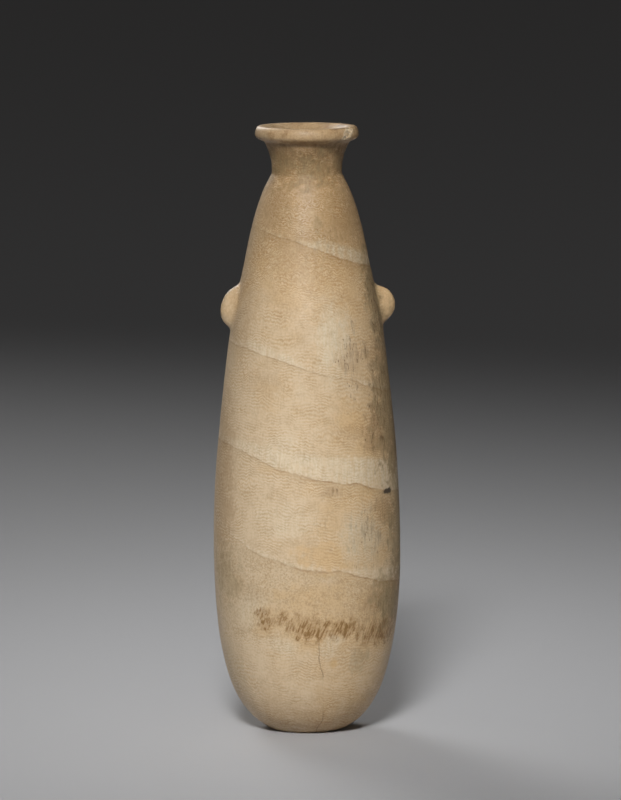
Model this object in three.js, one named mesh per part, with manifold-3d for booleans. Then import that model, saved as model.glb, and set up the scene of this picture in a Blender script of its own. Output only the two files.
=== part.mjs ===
// A tall perfume flask carved from one piece of banded stone: a drop-shaped body on a
// small flat foot, two solid lugs below the neck, and a dished disc rim.
// Millimetres, +Z up. The origin is the centre of the foot, and the lugs stand on the X axis.
import * as THREE from 'three';
import { mergeVertices } from 'three/addons/utils/BufferGeometryUtils.js';
import Module from 'manifold-3d';

// Stations of the turned outline, in millimetres. r and z are the station's radius and
// height. lean is the wall's slope there, in degrees from upright and positive where the
// wall opens outward going up. below and above are how far the curve follows that slope
// on either side, and steps is how many facets lead up to the station.
const foot = { r: 16.0, z: 0, lean: 67.6, above: 8.6 };
const heel = { r: 34.1, z: 20.9, lean: 20.7, below: 11.2, above: 9.6, steps: 7 };
const belly = { r: 41.85, z: 84.0, lean: 0, below: 35.8, above: 41.5, steps: 8 };
const shoulder = { r: 33.5, z: 184.0, lean: -10.6, below: 3.5, above: 9.0, steps: 8 };
const throat = { r: 27.2, z: 212.8, lean: -11.5, below: 10.4, above: 8.0, steps: 3 };
const neckBase = { r: 15.9, z: 248.3, lean: -32.7, below: 12.0, above: 1.0, steps: 6 };
const neckWaist = { r: 15.6, z: 251.8, lean: 0, below: 1.4, above: 4.0, steps: 2 };
const rimRoot = { r: 18.8, z: 262.9, lean: 22.0, below: 4.5, above: 0.8, steps: 4 };
const rimEdge = { r: 23.0, z: 266.3, lean: 0, below: 2.2, above: 1.9, steps: 5 };
const crest = { r: 21.2, z: 270, lean: -78.0, below: 1.2, steps: 4 };

// The top of the rim: a narrow flat land on the crest, then a dish down to the bore
const landWidth = 2.0;
const dishRadius = 9.5;
const dishDepth = 4.7;
const boreEdgeDepth = 6.2;

// Stations of the hollow, from its floor up to the foot of the bore
const cavityFloor = { r: 0, z: 14.0, lean: 90, above: 18.0 };
const cavityHeel = { r: 31.0, z: 46.0, lean: 12.0, below: 22.0, above: 12.0, steps: 6 };
const cavityBelly = { r: 33.9, z: 84.0, lean: 0, below: 14.0, above: 38.0, steps: 4 };
const cavityShoulder = { r: 24.0, z: 190.0, lean: -11.0, below: 24.0, above: 18.0, steps: 6 };
const bore = { r: 8.5, z: 243.0, lean: 0, below: 14.0, steps: 6 };

// The lugs are egg-shaped knobs sunk into the wall. The carver left the two unequal: one
// droops with its top leaning in, and the other is shorter and stands out further.
const droopingLug = { side: -1, r: 31.6, z: 189.8, reach: 6.8, width: 4.4, rise: 9.3, leanIn: 20 };
const fullLug = { side: 1, r: 31.6, z: 190.2, reach: 8.0, width: 4.4, rise: 8.3, leanIn: 4 };

const turnedFacets = 60;
const lugFacets = 24;

// The outline's direction at a station, going up
function slopeAt(station) {
  const angle = THREE.MathUtils.degToRad(station.lean);
  return new THREE.Vector2(Math.sin(angle), Math.cos(angle));
}

// Points of one smooth curve through a run of stations, the first station included
function curveThrough(stations) {
  const points = [new THREE.Vector2(stations[0].r, stations[0].z)];
  for (let i = 1; i < stations.length; i += 1) {
    const from = stations[i - 1];
    const to = stations[i];
    const start = new THREE.Vector2(from.r, from.z);
    const end = new THREE.Vector2(to.r, to.z);
    const startHandle = start.clone().addScaledVector(slopeAt(from), from.above);
    const endHandle = end.clone().addScaledVector(slopeAt(to), -to.below);
    const curve = new THREE.CubicBezierCurve(start, startHandle, endHandle, end);
    points.push(...curve.getPoints(to.steps).slice(1));
  }
  return points;
}

// The whole turned section, from the middle of the foot up the outside, over the rim and
// down the inside to the middle of the hollow's floor
function flaskSection() {
  const outside = curveThrough([
    foot, heel, belly, shoulder, throat, neckBase, neckWaist, rimRoot, rimEdge, crest,
  ]);
  const inside = curveThrough([cavityFloor, cavityHeel, cavityBelly, cavityShoulder, bore]);
  return [
    new THREE.Vector2(0, foot.z),
    ...outside,
    new THREE.Vector2(crest.r - landWidth, crest.z),
    new THREE.Vector2(dishRadius, crest.z - dishDepth),
    new THREE.Vector2(bore.r, crest.z - boreEdgeDepth),
    ...inside.reverse(),
  ];
}

const wasm = await Module();
wasm.setup();

// A closed solid from a geometry, without the zero-area triangles that meet at its poles
function solidFrom(geometry) {
  geometry.deleteAttribute('normal');
  geometry.deleteAttribute('uv');
  const merged = mergeVertices(geometry, 1e-4);
  const corners = merged.index.array;
  const triangles = [];
  for (let i = 0; i < corners.length; i += 3) {
    const [a, b, c] = corners.slice(i, i + 3);
    if (a !== b && b !== c && c !== a) triangles.push(a, b, c);
  }
  return new wasm.Manifold(new wasm.Mesh({
    numProp: 3,
    vertProperties: new Float32Array(merged.attributes.position.array),
    triVerts: new Uint32Array(triangles),
  }));
}

function geometryFrom(solid) {
  const mesh = solid.getMesh();
  const geometry = new THREE.BufferGeometry();
  geometry.setAttribute('position', new THREE.BufferAttribute(mesh.vertProperties, 3));
  geometry.setIndex(new THREE.BufferAttribute(mesh.triVerts, 1));
  geometry.computeVertexNormals();
  return geometry;
}

function turnedBody() {
  const geometry = new THREE.LatheGeometry(flaskSection(), turnedFacets);
  geometry.rotateX(Math.PI / 2);
  return solidFrom(geometry);
}

function lugSolid(lug) {
  const geometry = new THREE.SphereGeometry(1, lugFacets, lugFacets / 2);
  geometry.rotateX(Math.PI / 2);
  geometry.scale(lug.reach, lug.width, lug.rise);
  geometry.rotateY(THREE.MathUtils.degToRad(-lug.side * lug.leanIn));
  geometry.translate(lug.side * lug.r, 0, lug.z);
  return solidFrom(geometry);
}

const bandedStone = new THREE.MeshStandardMaterial({
  name: 'banded stone',
  color: 0xc9ad82,
  roughness: 0.5,
  metalness: 0,
});

const carvedFlask = turnedBody().add(lugSolid(droopingLug)).add(lugSolid(fullLug));
const flask = new THREE.Mesh(geometryFrom(carvedFlask), bandedStone);
flask.name = 'alabastron';

const group = new THREE.Group();
group.add(flask);

export default group;
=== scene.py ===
# Carved stone perfume flask with banded, rippled stone and a chipped rim
import bisect
import math
from types import SimpleNamespace

import bmesh
import bpy
from mathutils import Matrix, Vector, noise
from mathutils.geometry import interpolate_bezier


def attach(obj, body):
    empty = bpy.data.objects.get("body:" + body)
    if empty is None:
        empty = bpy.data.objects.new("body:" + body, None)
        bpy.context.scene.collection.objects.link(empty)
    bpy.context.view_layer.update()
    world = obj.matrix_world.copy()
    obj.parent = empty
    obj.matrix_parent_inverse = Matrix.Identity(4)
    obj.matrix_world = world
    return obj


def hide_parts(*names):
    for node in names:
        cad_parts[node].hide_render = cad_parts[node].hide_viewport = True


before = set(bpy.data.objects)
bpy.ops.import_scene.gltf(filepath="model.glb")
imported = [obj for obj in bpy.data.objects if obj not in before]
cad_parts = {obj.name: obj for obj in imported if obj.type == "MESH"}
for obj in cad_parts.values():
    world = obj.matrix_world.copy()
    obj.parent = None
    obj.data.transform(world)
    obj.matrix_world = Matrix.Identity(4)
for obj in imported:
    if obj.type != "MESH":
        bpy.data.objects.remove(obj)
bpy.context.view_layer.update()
mm = 0.001

# The flask, in millimetres: radius r and height z of each station of its outline, the wall's
# lean from upright in degrees, and how far the curve follows that lean below and above it
flask = {
    "outside": [
        {"r": 16.0, "z": 0.0, "lean": 67.6, "above": 8.6},  # edge of the flat foot
        {"r": 34.1, "z": 20.9, "lean": 20.7, "below": 11.2, "above": 9.6},  # heel
        {"r": 41.85, "z": 84.0, "lean": 0.0, "below": 35.8, "above": 41.5},  # belly
        {"r": 33.5, "z": 184.0, "lean": -10.6, "below": 3.5, "above": 9.0},  # shoulder
        {"r": 27.2, "z": 212.8, "lean": -11.5, "below": 10.4, "above": 8.0},  # throat
        {"r": 15.9, "z": 248.3, "lean": -32.7, "below": 12.0, "above": 1.0},  # foot of the neck
        {"r": 15.6, "z": 251.8, "lean": 0.0, "below": 1.4, "above": 4.0},  # waist of the neck
        {"r": 18.8, "z": 262.9, "lean": 22.0, "below": 4.5, "above": 0.8},  # under the rim
        {"r": 23.0, "z": 266.3, "lean": 0.0, "below": 2.2, "above": 1.9},  # edge of the rim
        {"r": 21.2, "z": 270.0, "lean": -78.0, "below": 1.2, "above": 0.0},  # crest
    ],
    "mouth": [(19.4, 270.0), (18.6, 269.7), (9.9, 265.5), (9.0, 264.7), (8.5, 263.6)],
    "inside": [
        {"r": 0.0, "z": 14.0, "lean": 90.0, "above": 18.0},
        {"r": 31.0, "z": 46.0, "lean": 12.0, "below": 22.0, "above": 12.0},
        {"r": 33.9, "z": 84.0, "lean": 0.0, "below": 14.0, "above": 38.0},
        {"r": 24.0, "z": 190.0, "lean": -11.0, "below": 24.0, "above": 18.0},
        {"r": 8.5, "z": 243.0, "lean": 0.0, "below": 14.0, "above": 0.0},
    ],
    "footRows": 8,
    "mouthGap": 0.8,
    "outsideGap": 1.05,
    "rimGap": 0.6,
    "rimStarts": 250.0,
    "insideGap": 4.5,
    "turns": 200,
    "mergeWithin": 1e-4,
}

lugs = {
    "drooping": {"side": -1, "r": 31.6, "z": 189.8, "reach": 6.8, "width": 4.4, "rise": 9.3,
                 "leanIn": 20},
    "full": {"side": 1, "r": 31.6, "z": 190.2, "reach": 8.0, "width": 4.4, "rise": 8.3,
             "leanIn": 4},
}
# The fillet at a lug's root, the window that its surface is carved in, and how it is searched for
lugCarving = {"fillet": 3.2, "window": 14.0, "halfHeight": 17.0, "cuts": 2, "rootDepth": 5.0,
              "steps": 24, "stride": 0.9}

# Each chip is a scoop of the given radius, centred off the surface of the rim
chips = [
    {"angle": -43, "r": 26.6, "z": 267.4, "scoop": 4.3},
    {"angle": -37, "r": 25.0, "z": 270.8, "scoop": 3.9},
    {"angle": -49, "r": 24.4, "z": 265.0, "scoop": 2.1},
    {"angle": -145, "r": 22.6, "z": 261.9, "scoop": 2.0},
    {"angle": 38, "r": 26.0, "z": 270.2, "scoop": 4.6},
    {"angle": 131, "r": 25.8, "z": 264.6, "scoop": 3.8},
]
chipCarving = {"margin": 1.5, "cuts": 2, "ragged": 0.5, "raggedScale": 0.7}

# How far hand rubbing moves the wall, how fine it is, and the part of the wall that it reaches
rubbing = {"broad": 0.32, "broadScale": 0.022, "fine": 0.07, "fineScale": 0.11, "shift": (7, 3, 1),
           "fromRadius": 16.5, "bottom": 1.0, "top": 262.0}


def leanVector(station):
    angle = math.radians(station["lean"])
    return Vector((math.sin(angle), 0, math.cos(angle)))


def curveThrough(stations, gapAt):
    # Points (r, 0, z) along one smooth curve, about gapAt(z) apart
    points = [Vector((stations[0]["r"], 0, stations[0]["z"]))]
    for low, high in zip(stations, stations[1:]):
        start = Vector((low["r"], 0, low["z"]))
        end = Vector((high["r"], 0, high["z"]))
        steps = max(3, round((end - start).length / gapAt(high["z"])))
        startHandle = start + leanVector(low) * low["above"]
        endHandle = end - leanVector(high) * high["below"]
        points += interpolate_bezier(start, startHandle, endHandle, end, steps + 1)[1:]
    return points


def lineThrough(points, gap):
    # The same along straight stretches, without the first point
    dense = []
    for start, end in zip(points, points[1:]):
        steps = max(1, round((end - start).length / gap))
        dense += [start.lerp(end, step / steps) for step in range(1, steps + 1)]
    return dense


def outsideGapAt(z):
    return flask["rimGap"] if z > flask["rimStarts"] else flask["outsideGap"]


def turnedFlask():
    outside = curveThrough(flask["outside"], outsideGapAt)
    inside = curveThrough(flask["inside"], lambda z: flask["insideGap"])
    mouth = [Vector((r, 0, z)) for r, z in flask["mouth"]]
    footStep = outside[0].x / flask["footRows"]
    foot = [Vector((footStep * row, 0, 0)) for row in range(flask["footRows"])]
    rim = lineThrough([outside[-1], *mouth], flask["mouthGap"])
    bore = lineThrough([mouth[-1], inside[-1]], flask["insideGap"] / 2)
    section = [*foot, *outside, *rim, *bore, *reversed(inside[:-1])]

    bm = bmesh.new()
    verts = [bm.verts.new(point) for point in section]
    edges = [bm.edges.new(pair) for pair in zip(verts, verts[1:])]
    bmesh.ops.spin(bm, geom=verts + edges, cent=(0, 0, 0), axis=(0, 0, 1), dvec=(0, 0, 0),
                   angle=2 * math.pi, steps=flask["turns"], use_merge=True)
    bmesh.ops.remove_doubles(bm, verts=bm.verts, dist=flask["mergeWithin"])
    bmesh.ops.recalc_face_normals(bm, faces=bm.faces)
    return bm, outside


def wallRadiusAt(outside):
    # The outline's radius as a function of height
    heights = [point.z for point in outside]

    def radius(z):
        i = min(max(bisect.bisect_left(heights, z), 1), len(outside) - 1)
        low, high = outside[i - 1], outside[i]
        share = (z - low.z) / max(high.z - low.z, 1e-6)
        return low.x + (high.x - low.x) * min(max(share, 0), 1)

    return radius


def refine(bm, inWindow, cuts):
    # Smaller faces where finer forms are carved
    edges = [edge for edge in bm.edges if all(inWindow(vert.co) for vert in edge.verts)]
    bmesh.ops.subdivide_edges(bm, edges=edges, cuts=cuts, use_grid_fill=True)


def smoothUnion(a, b, blend):
    overlap = max(blend - abs(a - b), 0) / blend
    return min(a, b) - overlap * overlap * blend / 4


def lugDistance(point, centre, unturn, lug):
    # Roughly how far the point is outside the lug's egg shape
    local = unturn @ (point - centre)
    scaled = Vector((local.x / lug["reach"], local.y / lug["width"], local.z / lug["rise"]))
    steep = Vector((scaled.x / lug["reach"], scaled.y / lug["width"], scaled.z / lug["rise"]))
    return scaled.length * (scaled.length - 1) / max(steep.length, 1e-9)


def carveLug(bm, lug, wallRadius):
    side = lug["side"]
    centre = Vector((side * lug["r"], 0, lug["z"]))
    root = Vector((side * (lug["r"] - lugCarving["rootDepth"]), 0, lug["z"]))
    unturn = Matrix.Rotation(math.radians(side * lug["leanIn"]), 3, "Y")
    innerRadius = lug["r"] - lugCarving["rootDepth"] / 2

    def inWindow(co):
        onSide = side * co.x > 0 and math.hypot(co.x, co.y) > innerRadius
        near = abs(co.y) < lugCarving["window"] and abs(co.z - lug["z"]) < lugCarving["halfHeight"]
        return onSide and near

    refine(bm, inWindow, lugCarving["cuts"])
    for vert in bm.verts:
        if not inWindow(vert.co):
            continue
        flat = Vector((vert.co.x, vert.co.y, 0)).normalized()
        start = flat * wallRadius(vert.co.z) + Vector((0, 0, vert.co.z))
        outward = (start - root).normalized()
        travel = 0.0
        for step in range(lugCarving["steps"]):
            point = start + outward * travel
            wall = math.hypot(point.x, point.y) - wallRadius(point.z)
            gap = smoothUnion(wall, lugDistance(point, centre, unturn, lug), lugCarving["fillet"])
            travel -= gap * lugCarving["stride"]
        vert.co = start + outward * max(travel, 0)


def chipCentre(chip):
    angle = math.radians(chip["angle"])
    return Vector((chip["r"] * math.cos(angle), chip["r"] * math.sin(angle), chip["z"]))


def carveChips(bm):
    centres = [chipCentre(chip) for chip in chips]

    def nearChip(co):
        return any((co - centre).length < chip["scoop"] + chipCarving["margin"]
                   for centre, chip in zip(centres, chips))

    refine(bm, nearChip, chipCarving["cuts"])
    for centre, chip in zip(centres, chips):
        for vert in bm.verts:
            away = vert.co - centre
            uneven = noise.noise(vert.co * chipCarving["raggedScale"])
            scoop = chip["scoop"] + chipCarving["ragged"] * uneven
            if away.length < scoop:
                vert.co = centre + away.normalized() * scoop


def handCarve(bm):
    # The outside isn't quite round or even, as a stone turned and rubbed down by hand
    for vert in bm.verts:
        r = math.hypot(vert.co.x, vert.co.y)
        if r < rubbing["fromRadius"] or not rubbing["bottom"] <= vert.co.z <= rubbing["top"]:
            continue
        broad = noise.noise(vert.co * rubbing["broadScale"]) - 0.5
        fine = noise.noise(vert.co * rubbing["fineScale"] + Vector(rubbing["shift"]))
        push = rubbing["broad"] * broad + rubbing["fine"] * fine
        vert.co.x *= 1 + push / r
        vert.co.y *= 1 + push / r


def makeFlask():
    bm, outside = turnedFlask()
    print("turned flask:", len(bm.faces), "faces")
    wallRadius = wallRadiusAt(outside)
    for lug in lugs.values():
        carveLug(bm, lug, wallRadius)
    handCarve(bm)
    carveChips(bm)
    print("carved flask:", len(bm.faces), "faces")
    bmesh.ops.scale(bm, vec=(mm, mm, mm), verts=bm.verts)
    for face in bm.faces:
        face.smooth = True
    mesh = bpy.data.meshes.new("carvedFlask")
    bm.to_mesh(mesh)
    bm.free()
    return bpy.data.objects.new("carvedFlask", mesh)


# The stone's colours, and its measures in millimetres of the flask's own frame
stone = {
    "base": (0.64, 0.495, 0.33),
    "honey": (0.60, 0.385, 0.175),
    "chalk": (0.72, 0.615, 0.45),
    "ash": (0.31, 0.235, 0.125),
    "brown": (0.36, 0.225, 0.11),
    "rust": (0.25, 0.135, 0.045),
    "umber": (0.20, 0.115, 0.05),
    "shade": (0.56, 0.46, 0.34),  # what fine dark grain, and the painted shade at the top and foot, leave of the colour under it
    "soot": (0.07, 0.052, 0.036),
    "tilt": 0.30,  # how much the strata fall for each millimetre to +X
    "reach": 45.0,  # half the width that the wander of a line is given over
    "rippleTilt": 0.10,
    "rippleGap": 1.4,
    "roughness": 0.44,
    "gloss": 0.32,
}

# The stone's noises: how large the features of each are in X, Y and Z, how fine its detail is,
# and a shift that sets it apart from the others
textures = {
    "broad": {"size": (26, 26, 26), "detail": 2.0, "shift": (0, 0, 0)},
    "middling": {"size": (9, 9, 7), "detail": 3.0, "shift": (3, 5, 2)},
    "clouds": {"size": (6.5, 6.5, 5.0), "detail": 4.0, "shift": (7, 3, 9)},
    "fray": {"size": (2.2, 2.2, 2.6), "detail": 3.0, "shift": (8, 2, 5)},
    "grain": {"size": (0.9, 0.9, 1.0), "detail": 4.0, "shift": (0, 0, 0)},
    "fibre": {"size": (0.75, 0.75, 4.6), "detail": 3.0, "shift": (1, 9, 4)},
    "sway": {"size": (3.0, 3.0, 7.0), "detail": 2.0, "shift": (2, 2, 2)},
    "curl": {"size": (2.0, 2.0, 2.3), "detail": 2.0, "shift": (5, 1, 3)},
    "rippled": {"size": (13, 13, 10), "detail": 3.0, "shift": (6, 6, 1)},
    "wear": {"size": (5, 5, 5), "detail": 2.0, "shift": (9, 4, 4)},
    "dashes": {"size": (0.8, 0.8, 2.4), "detail": 3.0, "shift": (3, 7, 1)},
    "specks": {"size": (1.0, 1.0, 1.2), "detail": 2.0, "shift": (2, 8, 6)},
    "streaks": {"size": (1.3, 1.3, 8.0), "detail": 3.0, "shift": (6, 2, 2)},
    "strokes": {"size": (1.0, 1.0, 3.6), "detail": 3.0, "shift": (0, 0, 0)},
    "torn": {"size": (2.2, 2.2, 6.5), "detail": 2.0, "shift": (4, 1, 7)},
}

# What comes in with height: none of it at the first height and all of it at the second
zones = {
    "grainy": (34.0, 56.0),
    "feathery": (176.0, 212.0),
    "warm": (150.0, 215.0),
    "smoothRim": (258.0, 263.0),
    "brownRim": (261.0, 264.0),
    # The last two paint shade on the stone: darker towards the top and towards the foot
    "paintedShadeTop": (165.0, 245.0),
    "paintedShadeFoot": (24.0, 0.0),
}

# How strongly each mark covers the colour under it, from 0 to 1
marks = {"seamAndShadow": 0.62, "chip": 0.6, "pit": 0.95, "speck": 0.5, "crack": 0.6, "streak": 0.5,
         "brownRim": 0.6, "stain": 0.95}

# How far each form stands out of the surface, in millimetres, and below 0 how far it is sunk
relief = {"ripple": 0.010, "ledge": 0.018, "grain": 0.012, "fibre": 0.006, "clouds": 0.02,
          "seamAndShadow": -0.03, "streak": -0.05, "speck": -0.08, "stain": -0.08, "crack": -0.12, "pit": -0.2}

# Each stratum line: its height on the axis, how it wanders off the plane (x, offset), how thick
# the pale bed above it is (x, thickness), and where the brown seam and the painted shadow below it show
# (x, strength)
strata = [
    {"height": 217.6, "wander": [(-23, 0.7), (2, 0.5), (10, -0.5), (27, -1.3)],
     "bed": [(-12, 0.4), (-2, 2.2), (6, 5.5), (27, 6.0)], "chalk": 0.85,
     "seamAndShadow": [(-24, 0.4), (-15, 0.8), (8, 0.8), (27, 0.9)]},
    {"height": 164.2, "wander": [(-34, 0.0), (-26, 0.4), (3, -0.3), (16, 0.9), (31, -0.7)],
     "bed": [(-34, 1.5), (-26, 4.5), (-12, 4.5), (-4, 1.5), (12, 0.8), (30, 2.5)], "chalk": 0.7,
     "seamAndShadow": [(-38, 0.6), (-10, 0.55), (14, 0.5), (22, 0.6), (34, 0.95)]},
    {"height": 118.3, "wander": [(-35, 0.9), (-13, -1.7), (0, -1.2), (11, 0.0), (20, 1.7), (35, 1.4)],
     "bed": [(-38, 3.5), (-15, 8.5), (0, 11.0), (20, 12.5), (36, 14.0)], "chalk": 0.75,
     "seamAndShadow": [(-39, 0.8), (-18, 0.6), (-11, 0.35), (2, 0.75), (34, 0.85)]},
    {"height": 77.8, "wander": [(-41, 4.6), (-33, 1.1), (-26, -1.7), (-7, -2.5), (4, -0.4), (12, 1.8),
                                (28, 1.0), (37, 2.2)],
     "bed": [(-40, 1.6), (0, 2.4), (12, 1.2), (24, 5.0), (37, 6.5)], "chalk": 0.6,
     "seamAndShadow": [(-41, 0.15), (-26, 0.5), (8, 0.75), (24, 0.95), (37, 0.9)]},
]

# Soft patches of each kind, from the top down: where each is, how far it reaches, and how strong
patches = {
    "honey": [
        {"at": (0.0, 0.0, 252.0), "size": (30.0, 30.0, 16.0), "strength": 0.9},
        {"at": (-7.0, -20.0, 233.0), "size": (12.0, 14.0, 12.0), "strength": 0.55},
        {"at": (12.0, -20.0, 232.0), "size": (10.0, 14.0, 13.0), "strength": 0.65},
        {"at": (0.0, -20.0, 222.0), "size": (34.0, 34.0, 34.0), "strength": 0.5},
        {"at": (-11.0, -27.0, 199.0), "size": (13.0, 14.0, 7.0), "strength": 0.4},
        {"at": (0.0, 0.0, 190.0), "size": (60.0, 9.0, 11.0), "strength": 0.5},
        {"at": (-21.0, -31.0, 154.0), "size": (6.0, 12.0, 9.0), "strength": 0.35},
        {"at": (0.0, 38.0, 150.0), "size": (22.0, 16.0, 16.0), "strength": 0.5},
        {"at": (18.0, -35.0, 142.0), "size": (12.0, 12.0, 6.0), "strength": 0.65},
        {"at": (26.0, -26.0, 126.0), "size": (14.0, 16.0, 10.0), "strength": 0.6},
        {"at": (-14.0, -38.0, 121.5), "size": (14.0, 12.0, 3.5), "strength": 0.35},
        {"at": (24.0, -28.0, 112.0), "size": (12.0, 14.0, 8.0), "strength": 0.45},
        {"at": (31.0, -22.0, 100.0), "size": (10.0, 16.0, 10.0), "strength": 0.5},
        {"at": (8.5, -41.0, 97.0), "size": (9.0, 14.0, 14.0), "strength": 0.45},
        {"at": (5.0, -41.0, 83.0), "size": (16.0, 20.0, 9.0), "strength": 0.8},
        {"at": (-2.0, -41.0, 64.0), "size": (24.0, 14.0, 9.0), "strength": 0.6},
        {"at": (-8.0, -40.0, 60.0), "size": (20.0, 14.0, 7.0), "strength": 0.35},
        {"at": (-20.0, 34.0, 60.0), "size": (18.0, 18.0, 22.0), "strength": 0.45},
        {"at": (0.0, -41.0, 52.0), "size": (26.0, 14.0, 7.0), "strength": 0.5},
        {"at": (8.8, -37.0, 34.9), "size": (2.4, 6.0, 3.0), "strength": 0.95},
    ],
    "brown": [
        {"at": (0.0, 0.0, 266.5), "size": (20.0, 20.0, 3.6), "strength": 0.6},
        # These two are partly the neck's own brown and partly painted shadow that the rim casts on the
        # neck
        {"at": (0.0, 0.0, 259.0), "size": (30.0, 30.0, 7.5), "strength": 1.0},
        {"at": (0.0, 0.0, 250.0), "size": (28.0, 28.0, 12.0), "strength": 0.55},
        {"at": (-16.0, -16.0, 236.0), "size": (9.0, 14.0, 16.0), "strength": 0.4},
        {"at": (16.0, -16.0, 231.0), "size": (12.0, 14.0, 16.0), "strength": 0.45},
        {"at": (-30.0, -12.0, 190.0), "size": (8.0, 14.0, 44.0), "strength": 0.35},
        {"at": (30.0, -18.0, 168.0), "size": (9.0, 14.0, 16.0), "strength": 0.6},
        {"at": (16.0, -32.0, 168.0), "size": (6.0, 12.0, 8.0), "strength": 0.45},
        {"at": (36.0, -16.0, 160.0), "size": (8.0, 16.0, 40.0), "strength": 0.6},
        {"at": (-24.0, -28.0, 159.0), "size": (14.0, 14.0, 7.0), "strength": 0.25},
        {"at": (29.0, -26.0, 137.0), "size": (9.0, 14.0, 16.0), "strength": 0.7},
        {"at": (20.0, -34.0, 137.0), "size": (16.0, 14.0, 3.6), "strength": 0.35},
        {"at": (38.0, -14.0, 134.0), "size": (10.0, 18.0, 22.0), "strength": 0.75},
        {"at": (-39.0, -12.0, 118.0), "size": (9.0, 16.0, 50.0), "strength": 0.6},
        {"at": (7.0, -40.0, 111.0), "size": (6.5, 12.0, 3.0), "strength": 0.4},
        {"at": (33.0, -25.0, 101.0), "size": (9.0, 14.0, 8.0), "strength": 0.6},
        {"at": (-27.0, -28.0, 66.0), "size": (12.0, 14.0, 6.0), "strength": 0.3},
        {"at": (38.0, -14.0, 62.0), "size": (8.0, 16.0, 18.0), "strength": 0.8},
        {"at": (28.0, -30.0, 62.0), "size": (12.0, 14.0, 9.0), "strength": 0.6},
        {"at": (38.0, -20.0, 60.0), "size": (9.0, 16.0, 20.0), "strength": 0.55},
    ],
    "chalk": [
        {"at": (1.8, -26.0, 218.6), "size": (2.3, 6.0, 2.0), "strength": 1.0},
        {"at": (10.0, -33.0, 178.0), "size": (11.0, 14.0, 20.0), "strength": 0.85},
        {"at": (-13.0, -36.0, 131.0), "size": (14.0, 14.0, 8.0), "strength": 0.4},
        {"at": (20.0, 30.0, 110.0), "size": (16.0, 14.0, 14.0), "strength": 0.5},
        {"at": (-14.0, -38.0, 98.0), "size": (18.0, 14.0, 10.0), "strength": 0.4},
        {"at": (22.0, -36.0, 91.0), "size": (13.0, 14.0, 14.0), "strength": 0.75},
        {"at": (-27.0, -29.0, 59.0), "size": (9.0, 12.0, 11.0), "strength": 0.55},
        {"at": (9.0, -38.0, 45.0), "size": (6.0, 8.0, 4.0), "strength": 0.6},
        {"at": (-14.0, -38.0, 43.0), "size": (9.0, 10.0, 5.0), "strength": 0.5},
        {"at": (6.5, -38.5, 41.0), "size": (5.0, 8.0, 5.5), "strength": 0.6},
    ],
    "ash": [
        # Partly the neck's own grey-brown and partly painted shadow that the rim casts on the neck
        {"at": (0.0, 0.0, 253.0), "size": (26.0, 26.0, 12.5), "strength": 0.8},
        {"at": (0.0, -16.0, 226.0), "size": (34.0, 34.0, 26.0), "strength": 0.22},
        {"at": (2.5, -22.0, 226.0), "size": (2.6, 8.0, 8.0), "strength": 0.55},
        {"at": (30.0, -12.0, 196.0), "size": (9.0, 14.0, 30.0), "strength": 0.95},
        {"at": (34.0, -16.0, 147.0), "size": (11.0, 18.0, 34.0), "strength": 0.9},
        {"at": (-10.0, 38.0, 112.0), "size": (12.0, 14.0, 30.0), "strength": 0.5},
        {"at": (40.0, -12.0, 94.0), "size": (10.0, 20.0, 30.0), "strength": 0.75},
        {"at": (25.0, -33.0, 90.0), "size": (12.0, 14.0, 13.0), "strength": 0.3},
        {"at": (-36.0, -16.0, 72.0), "size": (10.0, 16.0, 14.0), "strength": 0.45},
        {"at": (34.0, -24.0, 60.0), "size": (10.0, 14.0, 16.0), "strength": 0.85},
        {"at": (20.5, -32.5, 36.0), "size": (6.0, 8.0, 7.5), "strength": 0.55},
        {"at": (-34.0, -14.0, 28.0), "size": (12.0, 14.0, 16.0), "strength": 0.3},
    ],
    "pits": [
        {"at": (8.0, -22.0, 222.0), "size": (9.0, 10.0, 7.0), "strength": 0.55},
        {"at": (10.0, 28.0, 205.0), "size": (14.0, 12.0, 16.0), "strength": 0.6},
        {"at": (31.0, -14.0, 190.0), "size": (9.0, 14.0, 32.0), "strength": 1.0},
        {"at": (18.0, -34.0, 170.0), "size": (9.0, 14.0, 20.0), "strength": 0.85},
        {"at": (31.0, -24.0, 147.0), "size": (11.0, 16.0, 30.0), "strength": 1.0},
        {"at": (7.0, -40.0, 111.5), "size": (5.0, 8.0, 3.0), "strength": 0.8},
        {"at": (2.0, -41.0, 97.0), "size": (5.0, 8.0, 4.5), "strength": 0.5},
        {"at": (-4.0, 40.0, 96.0), "size": (20.0, 16.0, 26.0), "strength": 0.7},
        {"at": (26.0, -33.0, 92.0), "size": (15.0, 16.0, 18.0), "strength": 0.7},
        {"at": (26.0, -30.0, 54.0), "size": (14.0, 14.0, 14.0), "strength": 0.6},
    ],
}

# The row of iron-brown drips: the middle of each (x, z), half its width and half its height
drips = [
    (-22.9, 57.0, 2.8, 2.4), (-20.8, 52.5, 2.8, 3.2), (-14.5, 55.0, 2.2, 3.2), (-9.8, 53.0, 2.3, 4.2),
    (-5.6, 51.5, 1.8, 5.2), (-1.4, 51.0, 2.4, 5.6), (3.2, 49.5, 2.4, 4.6), (10.2, 49.6, 2.8, 4.4),
    (15.4, 50.0, 3.1, 4.0), (20.6, 49.0, 2.0, 3.6), (25.2, 47.0, 2.9, 5.0), (31.0, 47.0, 2.6, 5.4),
    (34.5, 45.5, 2.4, 4.6),
]
# Their lean, and where in Y they end and the plainer row of the back takes over
dripLook = {"lean": 0.4, "ragged": 0.9, "front": (-2.0, -8.0), "back": (-8.0, 4.0),
            "backHeight": 50.0, "backTilt": 0.12}

# The crack rises from the foot: its route (z, x), and the stretch where it closes
crack = {"route": [(2, 2.6), (8, 4.8), (28, 4.0), (38, 2.0), (47, 1.9)], "reach": 50.0,
         "width": 0.26, "top": 47.0, "shut": (12.0, 27.0)}

stain = {"at": (33.9, -23.3, 109.3), "size": (3.1, 4.6, 1.15)}  # black end of the third seam


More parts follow.
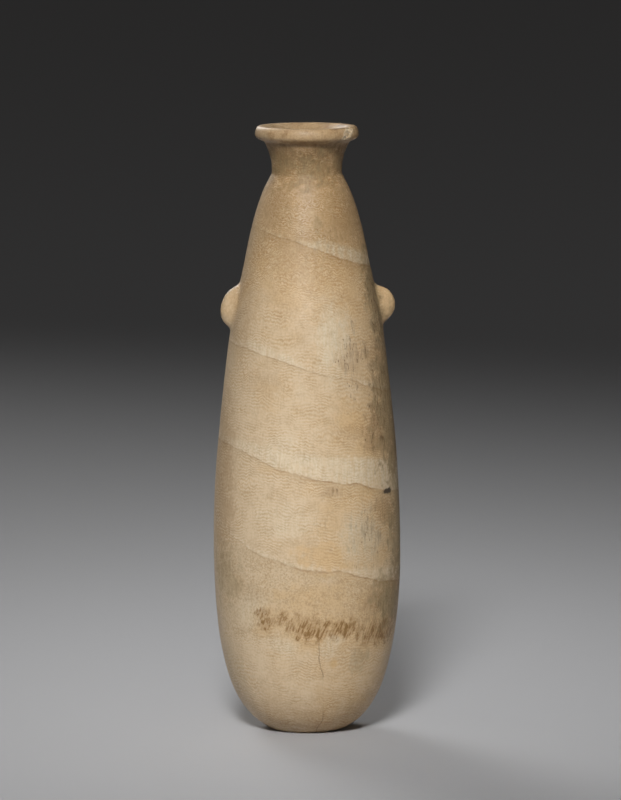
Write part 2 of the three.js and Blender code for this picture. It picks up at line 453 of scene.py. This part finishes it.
class Wire:
    # One output of a node tree, so that sums on it read as sums
    def __init__(self, tree, socket):
        self.tree = tree
        self.socket = socket

    def node(self, kind, settings, inputs, output=0):
        made = self.tree.nodes.new("ShaderNode" + kind)
        for name, value in settings.items():
            if name == "stops":
                self.setStops(made.color_ramp.elements, value)
            elif name == "interpolation":
                made.color_ramp.interpolation = value
            else:
                setattr(made, name, value)
        for name, value in inputs.items():
            if isinstance(value, Wire):
                self.tree.links.new(value.socket, made.inputs[name])
            else:
                made.inputs[name].default_value = value
        return Wire(self.tree, made.outputs[output])

    def setStops(self, elements, stops):
        while len(elements) < len(stops):
            elements.new(1)
        for element, (position, value) in zip(elements, stops):
            element.position = position
            element.color = (value, value, value, 1)

    def output(self, name):
        return Wire(self.tree, self.socket.node.outputs[name])

    def math(self, operation, first, second=0.0):
        return self.node("Math", {"operation": operation}, {0: first, 1: second})

    def __add__(self, other):
        return self.math("ADD", self, other)

    def __sub__(self, other):
        return self.math("SUBTRACT", self, other)

    def __rsub__(self, other):
        return self.math("SUBTRACT", other, self)

    def __mul__(self, other):
        return self.math("MULTIPLY", self, other)

    def __truediv__(self, other):
        return self.math("DIVIDE", self, other)

    def __rtruediv__(self, other):
        return self.math("DIVIDE", other, self)

    def __abs__(self):
        return self.math("ABSOLUTE", self)

    def sine(self):
        return self.math("SINE", self)

    __radd__ = __add__
    __rmul__ = __mul__


def larger(first, *others):
    for other in others:
        first = first.math("MAXIMUM", first, other)
    return first


def smaller(first, *others):
    for other in others:
        first = first.math("MINIMUM", first, other)
    return first


def rising(value, low, high):
    # 0 below low, 1 above high, and smooth between; falls where low is the larger
    settings = {"interpolation_type": "SMOOTHSTEP"}
    return value.node("MapRange", settings, {"Value": value, "From Min": low, "From Max": high})


def along(value, pairs, reach):
    # A smooth curve through (value, result) pairs, for values between -reach and reach
    most = max(abs(result) for at, result in pairs)
    stops = [((at + reach) / (2 * reach), 0.5 + result / (2 * most)) for at, result in pairs]
    ramp = value.node("ValToRGB", {"interpolation": "EASE", "stops": stops},
                      {"Fac": (value + reach) / (2 * reach)})
    return (ramp - 0.5) * (2 * most)


def stretched(place, size, shift):
    # The same place measured in steps of size
    scale = [1 / length for length in size]
    return place.node("VectorMath", {"operation": "MULTIPLY_ADD"}, {0: place, 1: scale, 2: shift})


def noiseAt(place, name):
    # One of the textures, between about -1 and 1
    texture = textures[name]
    vector = stretched(place, texture["size"], texture["shift"])
    found = place.node("TexNoise", {}, {"Vector": vector, "Scale": 1.0, "Detail": texture["detail"],
                                        "Roughness": 0.55})
    return (found - 0.5) * 4.5


def blobDepth(place, at, size):
    # 0 at the middle of an egg shape and 1 on its surface
    shift = [-middle / length for middle, length in zip(at, size)]
    local = stretched(place, size, shift)
    return place.node("VectorMath", {"operation": "LENGTH"}, {0: local}, "Value")


def mixed(factor, first, second):
    settings = {"data_type": "RGBA", "clamp_factor": True}
    colours = [end if isinstance(end, Wire) else (*end, 1) for end in (first, second)]
    return factor.node("Mix", settings, {"Factor": factor, 6: colours[0], 7: colours[1]}, 2)


def stoneSpot(tree):
    # A spot of the stone: its place in millimetres, its X, Y and Z, and the noises most used there
    metres = Wire(tree, None).node("TexCoord", {}, {}, "Object")
    place = metres.node("VectorMath", {"operation": "SCALE"}, {0: metres, "Scale": 1 / mm})
    x = place.node("SeparateXYZ", {}, {"Vector": place})
    spot = SimpleNamespace(place=place, x=x, y=x.output("Y"), z=x.output("Z"))
    for name in ("broad", "middling", "clouds", "fray", "grain", "fibre"):
        setattr(spot, name, noiseAt(place, name))
    return spot


def zone(spot, name):
    return rising(spot.z, *zones[name])


def patchField(spot, kind, blur):
    # All the patches of one kind, with ragged edges
    return larger(*[rising(blobDepth(spot.place, patch["at"], patch["size"]) + blur, 1.15, 0.35)
                    * patch["strength"] for patch in patches[kind]])


def stratum(spot, height, worn, line):
    # A pale bed, the brown seam under it, a painted shadow below the seam where the ledge casts one, and
    # the fine ledge where the two meet
    above = height - line["height"] - along(spot.x, line["wander"], stone["reach"])
    top = along(spot.x, line["bed"], stone["reach"]) + spot.middling * 1.2 + spot.fray * 0.9
    bed = rising(above, -0.2, 0.5) * rising(above - top, 1.2, -1.6) * line["chalk"]
    brown = along(spot.x, line["seamAndShadow"], stone["reach"]) * worn
    thread = rising(abs(above + 0.15), 0.75, 0.1) * brown
    # Painted shadow: a brown band for 6 mm below the seam, as if cast by the ledge
    shade = rising(above, -6.0, 0.0) * rising(above, 0.4, -0.3) * brown * 0.36
    ledge = rising(above, -0.3, 0.3) * rising(above, 7.0, 1.0)
    return bed, larger(thread, shade), ledge


def growthRipples(spot, feather, calm):
    # Fine ripples, nearly level, that curl where the stone is feathery and fade where it is calm
    sway = noiseAt(spot.place, "sway") * 0.75
    curl = noiseAt(spot.place, "curl") * (feather * 0.8 + 0.25)
    level = spot.z + spot.x * stone["rippleTilt"] + spot.broad * 2.6 + sway + curl
    wave = (level * (2 * math.pi / stone["rippleGap"])).sine()
    rippled = rising(noiseAt(spot.place, "rippled") + spot.clouds * 0.6, -0.7, 0.9)
    return wave * (rippled * 0.85 + 0.15) * (0.8 + spot.fray * 0.5) * (1 - calm)


def dripField(spot):
    # Slanted ragged drips on the front, a fainter torn row round the back, and a warm halo
    depths = []
    for middle, height, halfWidth, halfHeight in drips:
        across = (spot.x - middle - (spot.z - height) * dripLook["lean"]) / halfWidth
        up = (spot.z - height) / halfHeight
        depths.append(across * across + up * up)
    depth = smaller(*depths)
    front = rising(spot.y, *dripLook["front"])
    slanted = spot.place.node("CombineXYZ", {}, {"X": spot.x - spot.z * dripLook["lean"],
                                                 "Y": spot.y, "Z": spot.z})
    strokes = rising(noiseAt(slanted, "strokes"), -0.4, 0.5)
    thick = rising(depth + spot.fray * dripLook["ragged"], 2.1, 0.2)
    shown = thick * (strokes * 0.85 + thick * 0.3) * front
    rowHeight = spot.z + spot.x * dripLook["backTilt"] - dripLook["backHeight"]
    row = rising(abs(rowHeight), 9.0, 2.0) * rising(spot.y, *dripLook["back"])
    torn = rising(noiseAt(slanted, "torn") + spot.fray * 0.3, 0.1, 0.7)
    halo = rising(depth + spot.fray * 1.2, 7.0, 0.5) * front
    return larger(shown, row * torn * 0.8), halo


def brokenField(spot):
    # Fresh pale stone in the chips, palest along their edges
    fresh = []
    for chip in chips:
        depth = blobDepth(spot.place, chipCentre(chip), [chip["scoop"]] * 3) + spot.fray * 0.04
        edge = rising(abs(depth - 1.07), 0.09, 0.02)
        fresh.append(larger(rising(depth, 1.1, 1.0) * 0.45, edge))
    return larger(*fresh)


def crackField(spot):
    middle = along(spot.z, crack["route"], crack["reach"]) + spot.fray * 0.3
    line = rising(abs(spot.x - middle), crack["width"], crack["width"] * 0.2)
    shutLow, shutHigh = crack["shut"]
    shut = rising(spot.z, shutLow - 2, shutLow) * rising(spot.z, shutHigh + 2, shutHigh)
    ends = rising(spot.z, crack["top"], crack["top"] - 5) * rising(spot.y, 0.0, -6.0)
    return line * ends * (1 - shut * 0.8)


def lugField(spot):
    # 1 on both lugs
    middle = (lugs["drooping"]["z"] + lugs["full"]["z"]) / 2
    return rising(abs(spot.x), 31.5, 34.0) * rising(abs(spot.z - middle), 14.0, 9.0)


def stoneMaterial():
    material = bpy.data.materials.new("bandedStone")
    material.use_nodes = True
    tree = material.node_tree
    surface = tree.nodes["Principled BSDF"]
    spot = stoneSpot(tree)
    broad, middling, clouds, fray = spot.broad, spot.middling, spot.clouds, spot.fray
    grain, fibre = spot.grain, spot.fibre

    # Strata follow planes that fall to +X. Below the fourth seam the stone is greyer and grainy
    height = spot.z + spot.x * stone["tilt"] + fray * 0.26 + middling * 0.5
    worn = rising(noiseAt(spot.place, "wear"), -0.7, 0.4) * 0.65 + 0.35
    beds, seamsAndShadows, ledges = zip(*[stratum(spot, height, worn, line) for line in strata])
    chalk = larger(patchField(spot, "chalk", fray * 0.22 + middling * 0.12), *beds)
    seamAndShadow = larger(*seamsAndShadows)
    grainy = rising(height - strata[-1]["height"], 0.0, -2.0) * zone(spot, "grainy")

    feather = larger(zone(spot, "feathery"), rising(middling + broad * 0.6, 0.35, 1.1), grainy)
    calm = larger(lugField(spot) * 0.85, grainy * 0.6, zone(spot, "smoothRim") * 0.8)
    ripple = growthRipples(spot, feather, calm)
    rippled = ripple * (0.2 + feather * 0.1) * (1 - chalk * 0.7)

    drip, dripHalo = dripField(spot)
    split = crackField(spot)
    ragged = fray * 0.28 + clouds * 0.5
    honey = larger(patchField(spot, "honey", ragged), dripHalo * 0.6)
    # Ash and brown patches are the stone's stains and patina, and on the neck also painted shadow from
    # the rim
    ash = patchField(spot, "ash", ragged)
    brown = patchField(spot, "brown", ragged)

    # Short upright pits and streaks where the stone is open, and sparse specks elsewhere
    openStone = patchField(spot, "pits", ragged)
    pit = rising(noiseAt(spot.place, "dashes") + openStone * 0.6, 0.9, 1.25) * openStone
    speck = rising(noiseAt(spot.place, "specks"), 1.1, 1.5)
    streaky = noiseAt(spot.place, "streaks")
    streak = rising(streaky, -0.1, 0.8) * openStone
    black = rising(blobDepth(spot.place, stain["at"], stain["size"]) + fray * 0.5, 1.3, 0.6)

    tint = broad * 0.22 + middling * 0.24 + clouds * 0.2 + spot.x * 0.013 + zone(spot, "warm") * 0.4
    pale = chalk * (0.8 + streaky * 0.6) + clouds * 0.12
    rim = zone(spot, "brownRim") * rising(clouds + fray * 0.3, 0.0, 0.9)
    # Painted shade: darker towards the top and towards the foot, standing in for the light falling off
    # there
    paintedShade = zone(spot, "paintedShadeTop") * 0.34 + zone(spot, "paintedShadeFoot") * 0.4
    dark = 0.16 + grain * (0.2 + grainy * 0.2) + fibre * 0.10 - ripple * 0.14 + clouds * 0.2 + paintedShade

    colour = mixed(rising(tint, -0.5, 0.9) * 0.7, stone["base"], stone["honey"])
    colour = mixed(honey * (0.8 + ripple * 0.2), colour, stone["honey"])
    colour = mixed(pale, colour, stone["chalk"])
    colour = mixed(rippled + 0.1, colour, stone["chalk"])
    colour = mixed(0.06 - rippled * 1.4, colour, stone["honey"])
    colour = mixed(brown * (0.8 + fibre * 0.2 - ripple * 0.25), colour, stone["brown"])
    colour = mixed(rim * marks["brownRim"], colour, stone["brown"])
    colour = mixed(grainy * 0.12 + ash * (0.75 + streaky * 0.35), colour, stone["ash"])
    # A darker copy of the colour, mixed in for fine dark grain and for the painted shade at the top and
    # foot
    shaded = colour.node("VectorMath", {"operation": "MULTIPLY"}, {0: colour, 1: stone["shade"]})
    colour = mixed(dark - rippled * feather * 0.4, colour, shaded)
    colour = mixed(drip * (0.85 + middling * 0.3), colour, stone["rust"])
    # Brown seams, each with the painted shadow of its ledge below it
    colour = mixed(seamAndShadow * marks["seamAndShadow"], colour, stone["rust"])
    colour = mixed(brokenField(spot) * marks["chip"], colour, stone["chalk"])
    colour = mixed(larger(pit * marks["pit"], speck * marks["speck"]), colour, stone["umber"])
    colour = mixed(larger(split * marks["crack"], streak * marks["streak"]), colour, stone["umber"])
    colour = mixed(black * marks["stain"], colour, stone["soot"])
    tree.links.new(colour.socket, surface.inputs["Base Color"])

    rough = stone["roughness"] + middling * 0.04 + ash * 0.1 + chalk * 0.06 + larger(pit, split) * 0.3
    tree.links.new(rough.socket, surface.inputs["Roughness"])
    surface.inputs["Specular IOR Level"].default_value = stone["gloss"]

    forms = {"ripple": ripple, "ledge": larger(*ledges), "grain": grain, "fibre": fibre,
             "clouds": clouds, "seamAndShadow": seamAndShadow, "streak": streak, "speck": speck, "stain": black,
             "crack": split, "pit": pit}
    raised = sum(form * relief[name] for name, form in forms.items())
    bump = raised.node("Bump", {}, {"Height": raised, "Strength": 1.0, "Distance": mm})
    tree.links.new(bump.socket, surface.inputs["Normal"])
    return material


floorLook = {"size": 30.0, "shade": (0.42, 0.42, 0.43), "roughness": 0.8}


def plainMaterial(name, shade, roughness):
    material = bpy.data.materials.new(name)
    material.use_nodes = True
    surface = material.node_tree.nodes["Principled BSDF"]
    surface.inputs["Base Color"].default_value = (*shade, 1)
    surface.inputs["Roughness"].default_value = roughness
    return material


def addFloor():
    bm = bmesh.new()
    bmesh.ops.create_grid(bm, x_segments=1, y_segments=1, size=floorLook["size"])
    mesh = bpy.data.meshes.new("floor")
    bm.to_mesh(mesh)
    bm.free()
    floor = bpy.data.objects.new("floor", mesh)
    bpy.context.collection.objects.link(floor)
    floor.data.materials.append(plainMaterial("paleFloor", floorLook["shade"], floorLook["roughness"]))


# The camera stands well back and a little above, turned 5 degrees to the drooping lug's side
view = {"distance": 2.6697, "height": 0.4707, "down": 6.901, "turn": -5.0, "aside": 0.0016,
        "lens": 271.5, "sensor": 36.0}

lamps = {
    "key": {"azimuth": -6, "elevation": 38, "distance": 2.6, "size": 0.6, "power": 1.2, "spread": 20},
    "fill": {"azimuth": 10, "elevation": 6, "distance": 2.6, "size": 0.8, "power": 2.0, "spread": 180},
    "back": {"azimuth": -155, "elevation": 28, "distance": 2.6, "size": 1.2, "power": 1.9, "spread": 40},
    "floor": {"azimuth": 0, "elevation": 70, "distance": 4.0, "size": 3.0, "power": 9, "spread": 180},
}
lampAim = 0.06  # the height that the lamps look at, so that the light is strongest low down
worldLight = {"shade": (1.0, 0.97, 0.94), "strength": 0.04}


def addCamera():
    camera = bpy.data.objects.new("camera", bpy.data.cameras.new("camera"))
    bpy.context.collection.objects.link(camera)
    turn = Matrix.Rotation(math.radians(view["turn"]), 3, "Z")
    camera.location = turn @ Vector((view["aside"], -view["distance"], view["height"]))
    camera.rotation_euler = (math.radians(90 - view["down"]), 0, math.radians(view["turn"]))
    camera.data.lens = view["lens"]
    camera.data.sensor_width = view["sensor"]
    bpy.context.scene.camera = camera


def addLamps():
    middle = Vector((0, 0, lampAim))
    for name, lamp in lamps.items():
        light = bpy.data.lights.new(name, "AREA")
        light.shape = "DISK"
        light.size = lamp["size"]
        light.energy = lamp["power"]
        light.spread = math.radians(lamp["spread"])
        azimuth = math.radians(lamp["azimuth"] + view["turn"])
        elevation = math.radians(lamp["elevation"])
        aim = Vector((math.sin(azimuth) * math.cos(elevation),
                      -math.cos(azimuth) * math.cos(elevation), math.sin(elevation)))
        holder = bpy.data.objects.new(name, light)
        holder.location = middle + aim * lamp["distance"]
        holder.rotation_euler = aim.to_track_quat("Z", "Y").to_euler()
        bpy.context.collection.objects.link(holder)


def addWorldLight():
    world = bpy.data.worlds.new("studio")
    bpy.context.scene.world = world
    world.use_nodes = True
    background = world.node_tree.nodes["Background"]
    background.inputs["Color"].default_value = (*worldLight["shade"], 1)
    background.inputs["Strength"].default_value = worldLight["strength"]


flaskPiece = makeFlask()
bpy.context.collection.objects.link(flaskPiece)
flaskPiece.data.materials.append(stoneMaterial())
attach(flaskPiece, "root")
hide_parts("alabastron")
print("flask in place")

addFloor()
addCamera()
addLamps()
addWorldLight()
bpy.context.scene.view_settings.view_transform = "Standard"
print("studio set up")
